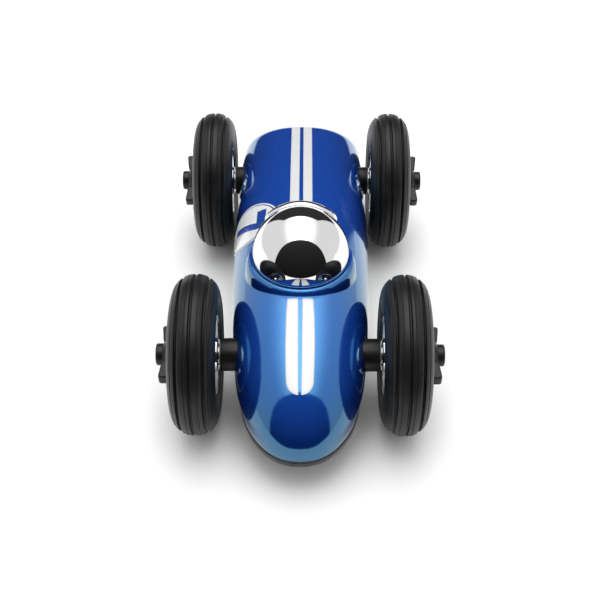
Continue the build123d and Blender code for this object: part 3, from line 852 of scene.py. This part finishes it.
# ======== ball and headrest
FOOT_BEVEL = 0.12  # broken edge of the ball's underside
REST_TUBE_R = 4.8
REST_ARC_R = 24.6
REST_ARC_HALF = math.radians(48.0)
REST_TILT = math.radians(52.7)
REST_OUTER_R = 30.9
REST_FOOT_Z = 70.4
REST_END_ROUND = 1.3
REST_GAP = 0.03  # clearance to the ball where the rim touches it
SKIRT_GAP = 0.25  # and further clearance of the skirt
CAP_ANGLES = (90, 70, 50, 30, 15)


def plated_ball():
    """Ball with a flat underside that stands in the cockpit's well."""
    flat = HEAD_FLAT_Z - HEAD_Z
    start = math.asin(flat / HEAD_R)
    foot_r = HEAD_R * math.cos(start)
    profile = [(flat, 0.0), (flat, foot_r - 3), (flat, foot_r - 0.5)]
    profile.append((flat + FOOT_BEVEL, foot_r - FOOT_BEVEL))
    for a in np.linspace(start + 0.02, math.pi / 2, 110):
        profile.append((HEAD_R * math.sin(a), HEAD_R * math.cos(a)))
    points, faces = turned(profile, (0, HEAD_Y, HEAD_Z), "z", 192)
    make_piece("plated_ball", points, faces, BALL_PLATE, stands_for=("helmet",))


def headrest_section(turn):
    """Closed outline in the upright plane through the ball's axis, and that plane's direction."""
    distance = math.sqrt((HEAD_R + REST_TUBE_R) ** 2 - REST_ARC_R ** 2)
    centre = np.array([
        REST_ARC_R * math.sin(turn),
        distance * math.sin(REST_TILT) + REST_ARC_R * math.cos(turn) * math.cos(REST_TILT),
        -distance * math.cos(REST_TILT) + REST_ARC_R * math.cos(turn) * math.sin(REST_TILT),
    ])
    out = math.hypot(centre[0], centre[1])
    direction = centre[:2] / out
    middle = np.array([out, HEAD_Z + centre[2]])
    neck = -math.acos((REST_OUTER_R - out) / REST_TUBE_R)
    touch = math.atan2(-centre[2], -out) % (2 * math.pi)
    rise = math.atan2(centre[2], out)
    ball_r = HEAD_R + REST_GAP
    neck_z = middle[1] + REST_TUBE_R * math.sin(neck)
    outline = [(REST_OUTER_R, z) for z in np.linspace(REST_FOOT_Z, neck_z, 8)[:-1]]
    for a in np.linspace(neck, touch, 40):
        outline.append(middle + REST_TUBE_R * np.array([math.cos(a), math.sin(a)]))
    for a in np.linspace(rise, 0, 9)[1:]:
        outline.append((ball_r * math.cos(a), HEAD_Z + ball_r * math.sin(a)))
    outline += [(ball_r + SKIRT_GAP, z) for z in np.linspace(HEAD_Z, REST_FOOT_Z, 5)[1:]]
    return np.array(outline, float), direction


def plated_headrest():
    """Crescent with a rolled rim behind the ball, and its skirt down into the shell."""
    ease = REST_END_ROUND / REST_ARC_R
    caps = [(a, REST_END_ROUND * (1 - math.cos(a))) for a in map(math.radians, CAP_ANGLES)]
    places = [(-REST_ARC_HALF + ease * (1 - math.sin(a)), inset) for a, inset in caps]
    places += [(t, 0.0) for t in np.linspace(-REST_ARC_HALF + ease, REST_ARC_HALF - ease, 90)]
    places += [(REST_ARC_HALF - ease * (1 - math.sin(a)), inset) for a, inset in reversed(caps)]
    points = []
    for turn, inset in places:
        outline, direction = headrest_section(turn)
        outline = inset_outline(outline, inset)
        for out, z in outline:
            points.append((out * direction[0], HEAD_Y + out * direction[1], z))
    count = len(outline)
    faces = grid_faces(len(places), count, wrap_columns=True)
    faces += [list(range(count)), list(range(len(points) - count, len(points)))]
    make_piece("plated_headrest", points, faces, BALL_PLATE, stands_for=("headrest",))


# ======== running gear
GROOVES = (49.0, 55.9, 62.8)
FINE_LINES = (46.6, 52.0, 58.6, 65.6)
GROOVE_DEPTH = 1.15
LAST_GROOVE_DEPTH = 1.5
GROOVE_HALF = (0.95, 0.62)  # half width of a groove, and of its sloping flank
LINE_DEPTH = 0.34
LINE_HALF = (0.36, 0.26)
RIB_EDGES = (43.6,) + GROOVES + (69.4,)
RIB_FALL = 0.30
TREAD_POWER = 2.1  # roundness of the tread from shoulder to shoulder
BULGE_R = 31.0
WALL_TOP_R = BULGE_R + 1.2
WALL_POWER = 2.2
WALL_TUCK = 0.118  # share of the half width that the sidewall loses down to the bead
WALL_RIDGES = ((0.22, 28.6, 0.35), (0.16, 24.4, 0.25))  # height, radius and half width
RIDGE_ROOM = 0.22  # how far the plain wall lies inside the full width
RIDGE_MOST = 0.2
BEAD_R = 21.6
RIM_R = 25.0
BED_IN = 46.6  # the rim's bed lies between these distances
BED_OUT = 66.0
SLEEVE_R = 8.9
SLEEVE_IN = 20.0
SLEEVE_OUT = 42.6
SLEEVE_BORE = 3.4
BUSH_IN = 32.0
BUSH_R = 5.0
SPINNER_SEAT = 66.4
SPINNER_END = 77.5
SPINNER_GRAIN = 0.30  # cell size of the remesh that blends cap and ears
EAR_R = 17.2
EAR_HALF = 3.3
EAR_ANGLE = {"front": 100.0, "rear": 114.0}  # degrees from straight up, towards the nose


def cut_depth(x):
    """Depth of the tread's grooves and fine lines at a distance from the centre line."""
    depth = np.zeros_like(x)
    for place in GROOVES:
        deep = LAST_GROOVE_DEPTH if place == GROOVES[-1] else GROOVE_DEPTH
        share = np.clip((GROOVE_HALF[0] - np.abs(x - place)) / GROOVE_HALF[1], 0, 1)
        depth = np.maximum(depth, deep * share ** 2 * (3 - 2 * share))
    for place in FINE_LINES:
        share = np.clip((LINE_HALF[0] - np.abs(x - place)) / LINE_HALF[1], 0, 1)
        depth = np.maximum(depth, LINE_DEPTH * share ** 2 * (3 - 2 * share))
    return depth


def rib_crown(x):
    """How far each rib falls away towards its grooves."""
    fall = np.zeros_like(x)
    for low, high in zip(RIB_EDGES[:-1], RIB_EDGES[1:]):
        inside = (x >= low) & (x < high)
        share = np.abs(2 * (x - low) / (high - low) - 1)
        fall = np.where(inside, RIB_FALL * share ** 4, fall)
    return fall


def tyre_profile():
    """Closed outline of the tyre as (distance from the centre line, radius)."""
    turn = np.linspace(0.02, math.pi - 0.02, 120)
    x = TYRE_MID - TYRE_HALF * np.cos(turn)
    # finer steps across each groove and line
    extra = [np.linspace(place - 1.0, place + 1.0, 19) for place in GROOVES]
    extra += [np.linspace(place - 0.4, place + 0.4, 9) for place in FINE_LINES]
    x = np.unique(np.round(np.concatenate([x] + extra), 4))
    x = x[np.concatenate([[True], np.diff(x) > 0.02])]
    share = np.clip(np.abs((x - TYRE_MID) / TYRE_HALF), 0, 1)
    crown_r = BULGE_R + (TYRE_R - BULGE_R) * (1 - share ** TREAD_POWER) ** (1 / TREAD_POWER)
    tread = np.stack([x, crown_r - cut_depth(x) - rib_crown(x) * (1 - share ** 8)], axis=-1)
    wall = []
    for q in np.linspace(0, 1, 34)[4:]:
        r = WALL_TOP_R - (WALL_TOP_R - BEAD_R) * q
        tuck = max(0.0, (BULGE_R - r) / (BULGE_R - BEAD_R)) ** WALL_POWER * WALL_TUCK
        ridge = sum(high * math.exp(-((r - at) / half) ** 2) for high, at, half in WALL_RIDGES)
        wall.append((TYRE_HALF * (1 - tuck) - RIDGE_ROOM + min(ridge, RIDGE_MOST), r))
    outer = [(TYRE_MID + x, r) for x, r in wall]
    inner = [(TYRE_MID - x, r) for x, r in reversed(wall)]
    bed = [(BED_OUT, BEAD_R), (BED_OUT, RIM_R), (BED_IN, RIM_R), (BED_IN, BEAD_R)]
    return np.array(list(tread) + outer + bed + inner)


def rim_profile():
    """Closed outline of the plated drum: dished faces, rolled bead edges and a hub boss."""
    points = [
        (43.8, 2.5), (43.8, 8.2), (44.4, 8.9), (46.0, 9.4), (46.3, 11.0), (45.5, 20.4), (44.9, 21.0),
        (45.0, BEAD_R), (BED_IN, BEAD_R), (BED_IN, RIM_R), (BED_OUT, RIM_R), (BED_OUT, BEAD_R),
        (66.9, BEAD_R), (67.1, 21.0), (66.8, 20.3), (66.5, 12.4), (66.4, 11.2), (SPINNER_SEAT, 2.5),
    ]
    radii = [0, 0.3, 0.3, 0.6, 1.5, 0.8, 0.3, 0.25, 0, 0, 0, 0, 0.25, 0.35, 0.8, 1.2, 0.3, 0]
    return rounded(points, radii, steps=7)


def sleeve_profile():
    """Closed outline of an axle sleeve, stepped inside for its bush."""
    points = [
        (SLEEVE_IN, SLEEVE_BORE), (BUSH_IN, SLEEVE_BORE), (BUSH_IN, BUSH_R),
        (SLEEVE_OUT, BUSH_R), (SLEEVE_OUT, SLEEVE_R), (SLEEVE_IN, SLEEVE_R),
    ]
    return rounded(points, [0, 0, 0, 0.2, 0.7, 0.3], steps=7)


def turned_piece(name, profile, side, end, material, body, node, steps=192):
    """Piece turned about an axle's centre line, mirrored for the left hand."""
    profile = np.array(profile, float)
    profile[:, 0] *= side
    points, faces = turned(profile, (0, AXLE_Y[end], AXLE_Z), "x", steps)
    make_piece(name, points, faces, material, body=body, stands_for=(node,))


def spinner_ear(turn, side):
    """Flared ear: a bevelled slab that stands out along a radius."""
    outline = rounded([(67.4, 4.0), (70.2, EAR_R), (75.3, EAR_R), (74.2, 8.0), (72.6, 4.0)],
                      [0, 1.5, 1.6, 3.0, 0], steps=6)
    outward = np.array([0, -math.sin(turn), math.cos(turn)])
    across = np.array([0, -math.cos(turn), -math.sin(turn)])
    points = []
    # the slab's levels across its thickness, with the bevel's inset at each
    levels = [(-EAR_HALF, 0.75), (-EAR_HALF + 0.25, 0.25), (-EAR_HALF + 0.75, 0.0)]
    levels += [(-a, inset) for a, inset in reversed(levels)]
    for offset, inset in levels:
        for a, r in inset_outline(outline, -inset):
            points.append(np.array([side * a, 0, 0]) + r * outward + offset * across)
    count = len(outline)
    faces = grid_faces(len(levels), count, wrap_columns=True)
    faces += [list(range(count)), list(range(len(points) - count, len(points)))]
    return points, faces


def spinner(end, hand, side):
    """Knock-off cap and its two ears, blended into one moulding."""
    cap = rounded(
        [(SPINNER_SEAT, 0.01), (SPINNER_SEAT, 9.6), (69.6, 8.9), (72.4, 7.2), (73.4, 6.0),
         (SPINNER_END, 6.0), (SPINNER_END, 0.01)],
        [0, 0.3, 0.8, 0.8, 0.6, 1.1, 0], steps=6,
    )
    cap[:, 0] *= side
    points, faces = turned(cap, (0, 0, 0), "x", 96)
    points = list(points)
    for turn in (EAR_ANGLE[end], EAR_ANGLE[end] + 180):
        ear_points, ear_faces = spinner_ear(math.radians(turn), side)
        faces += [[k + len(points) for k in face] for face in ear_faces]
        points += ear_points
    points = np.array(points) + np.array([0, AXLE_Y[end], AXLE_Z])
    tag = end + "_" + hand
    piece = make_piece("wheel_spinner_" + tag, points, faces, SPINNER_BLACK,
                       body=end + "_wheels", stands_for=("spinner_" + tag,))
    merge = piece.modifiers.new("blend", "REMESH")
    merge.mode = "VOXEL"
    merge.voxel_size = SPINNER_GRAIN * MM
    merge.use_smooth_shade = True
    soften = piece.modifiers.new("soften", "SMOOTH")
    soften.factor = 0.5
    soften.iterations = 6


def running_gear():
    """Tyres, rims, sleeves and spinners of both axles."""
    tyre = tyre_profile()
    rim = rim_profile()
    sleeve = sleeve_profile()
    for end in ENDS:
        for hand, side in HANDS:
            tag = end + "_" + hand
            body = end + "_wheels"
            turned_piece("ribbed_tyre_" + tag, tyre, side, end, RUBBER, body, "tyre_" + tag)
            turned_piece("plated_rim_" + tag, rim, side, end, RIM_PLATE, body, "rim_" + tag)
            turned_piece("sleeve_" + tag, sleeve, side, end, SLEEVE_BLACK, "body",
                         "axle_sleeve_" + tag, steps=128)
            spinner(end, hand, side)


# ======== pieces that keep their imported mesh
def finish_cad_nodes():
    """Gives every node that is shown as packed its procedural material."""
    tags = [end + "_" + hand for end in ENDS for hand, _ in HANDS]
    finishes = {"chassis_tray": TRAY_BLACK, "chassis_screws": ZINC, "helmet_screw": ZINC}
    finishes.update({"axle_" + end: STEEL for end in ENDS})
    finishes.update({"axle_washer_" + tag: STEEL for tag in tags})
    finishes.update({"axle_bush_" + tag: BEARING for tag in tags})
    for name, material in finishes.items():
        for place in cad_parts[name].material_slots:
            place.material = material


# ======== studio
FLOOR_FRONT = -0.25  # the pale table ends here, ahead of the nose
FLOOR_REACH = 3.0


def pale_floor():
    mesh = bpy.data.meshes.new("studio_floor")
    corners = [(-FLOOR_REACH, FLOOR_FRONT, 0), (FLOOR_REACH, FLOOR_FRONT, 0),
               (FLOOR_REACH, FLOOR_REACH, 0), (-FLOOR_REACH, FLOOR_REACH, 0)]
    mesh.from_pydata(corners, [], [(0, 1, 2, 3)])
    floor = bpy.data.objects.new("studio_floor", mesh)
    bpy.context.scene.collection.objects.link(floor)
    material, tree, shader = new_material("pale_table")
    cloud = noise(tree, 6.0, detail=2.0)
    colour = mixed(tree, ranged(tree, cloud, 0.0, 1.0), (0.93, 0.93, 0.927), (0.92, 0.92, 0.917))
    set_inputs(tree, shader, Base_Color=colour, Roughness=0.6, Specular_IOR_Level=0.2)
    mesh.materials.append(material)


ARCH_HALF = 1.75  # half width of the dark opening ahead, seen at unit distance
ARCH_SPRING = 0.93  # height where its round top begins
ARCH_EDGE = 0.03  # softness of its edge
GAP_HALF = 0.73  # half width of the dark gap behind
GAP_TOP = 0.98
GAP_EDGE = 0.02
STRIP_HALF = (0.28, 0.42)  # middle strip ahead that is dark for matt faces too, with its soft edge
DARK_HEIGHTS = (-0.4, 2.2)  # the dark brightens a little with height
DARK_TONES = (0.008, 0.034)
LIGHT_SIDE = 0.84  # brightness of the tent's sides
LIGHT_TOP = 3.0  # what the overhead light adds along the car's middle
LIGHT_SPREAD = 0.42
LIGHT_RISE = (0.45, 0.97)  # heights between which the overhead light comes in
LOW = 0.05  # heights below this count as this


def blended(tree, first, second, share):
    """First value, giving way to the second as the share goes to 1."""
    kept = calc(tree, "MULTIPLY", first, calc(tree, "SUBTRACT", 1.0, share))
    return calc(tree, "ADD", kept, calc(tree, "MULTIPLY", second, share))


def below(tree, value, limit, edge):
    """1 where a value is under a limit and 0 over it, with a soft edge."""
    return ranged(tree, value, 1.0, 0.0, limit - edge, limit + edge)


def studio():
    """White light tent round the car, open ahead for the camera and with a dark gap behind."""
    world = bpy.data.worlds.new("light_tent")
    bpy.context.scene.world = world
    world.use_nodes = True
    tree = world.node_tree
    tree.nodes.clear()

    def op(operation, *values):
        return calc(tree, operation, *values)

    way = add_node(tree, "TexCoord").outputs["Generated"]
    parts = add_node(tree, "SeparateXYZ", {0: way}).outputs
    ahead = op("MAXIMUM", op("MULTIPLY", parts[1], -1.0), 0.001)
    side = op("DIVIDE", parts[0], ahead)
    up = op("DIVIDE", parts[2], ahead)
    above = op("MAXIMUM", op("SUBTRACT", up, ARCH_SPRING), 0.0)
    squares = op("ADD", op("POWER", side, 2.0), op("POWER", above, 2.0))
    arch = below(tree, op("SQRT", squares), ARCH_HALF, ARCH_EDGE)
    behind = op("MAXIMUM", parts[1], 0.001)
    side_back = op("DIVIDE", op("ABSOLUTE", parts[0]), behind)
    up_back = op("DIVIDE", parts[2], behind)
    gap_side = below(tree, side_back, GAP_HALF, GAP_EDGE)
    gap = op("MULTIPLY", gap_side, below(tree, up_back, GAP_TOP, GAP_EDGE))
    rays = add_node(tree, "LightPath").outputs
    mirrored = op("SUBTRACT", 1.0, rays["Is Diffuse Ray"])
    strip = ranged(tree, op("ABSOLUTE", side), 1.0, 0.0, *STRIP_HALF)
    seen_dark = op("MAXIMUM", mirrored, strip)
    opening = op("MULTIPLY", op("MAXIMUM", arch, gap), seen_dark)
    lateral = op("DIVIDE", parts[0], op("MAXIMUM", parts[2], LOW))
    lobe = op("POWER", op("DIVIDE", lateral, LIGHT_SPREAD), 2.0)
    overhead = op("EXPONENT", op("MULTIPLY", lobe, -1.0))
    overhead = op("MULTIPLY", overhead, ranged(tree, parts[2], 0.0, 1.0, *LIGHT_RISE))
    light = op("ADD", op("MULTIPLY", overhead, LIGHT_TOP), LIGHT_SIDE)
    dark = ranged(tree, up, *DARK_TONES, *DARK_HEIGHTS)
    tone = blended(tree, light, dark, opening)
    tone = blended(tree, tone, 1.0, rays["Is Camera Ray"])
    glow = add_node(tree, "Background", {"Color": (1, 1, 1, 1), "Strength": tone})
    add_node(tree, "OutputWorld", {"Surface": glow.outputs[0]})


CAMERA_AT = (0.0022, -0.4893, 0.4402)  # metres
CAMERA_DOWN = 41.0  # degrees below level
CAMERA_TURN = 0.00565  # radians
CAMERA_LENS = 63.54  # millimetres, on a 36 mm sensor


def camera():
    """Looks down over the nose, almost along the car's middle."""
    data = bpy.data.cameras.new("camera")
    data.lens = CAMERA_LENS
    data.sensor_width = 36.0
    data.clip_start = 0.02
    seat = bpy.data.objects.new("camera", data)
    seat.location = CAMERA_AT
    seat.rotation_euler = Euler((math.radians(90 - CAMERA_DOWN), 0, CAMERA_TURN))
    bpy.context.scene.collection.objects.link(seat)
    bpy.context.scene.camera = seat


painted_shell()
tray_edge()
for hand, side in HANDS:
    front_stripe(hand, side)
    rear_stripe(hand, side)
roundel()
plated_ball()
plated_headrest()
running_gear()
finish_cad_nodes()
pale_floor()
studio()
camera()
bpy.context.scene.view_settings.view_transform = "Standard"
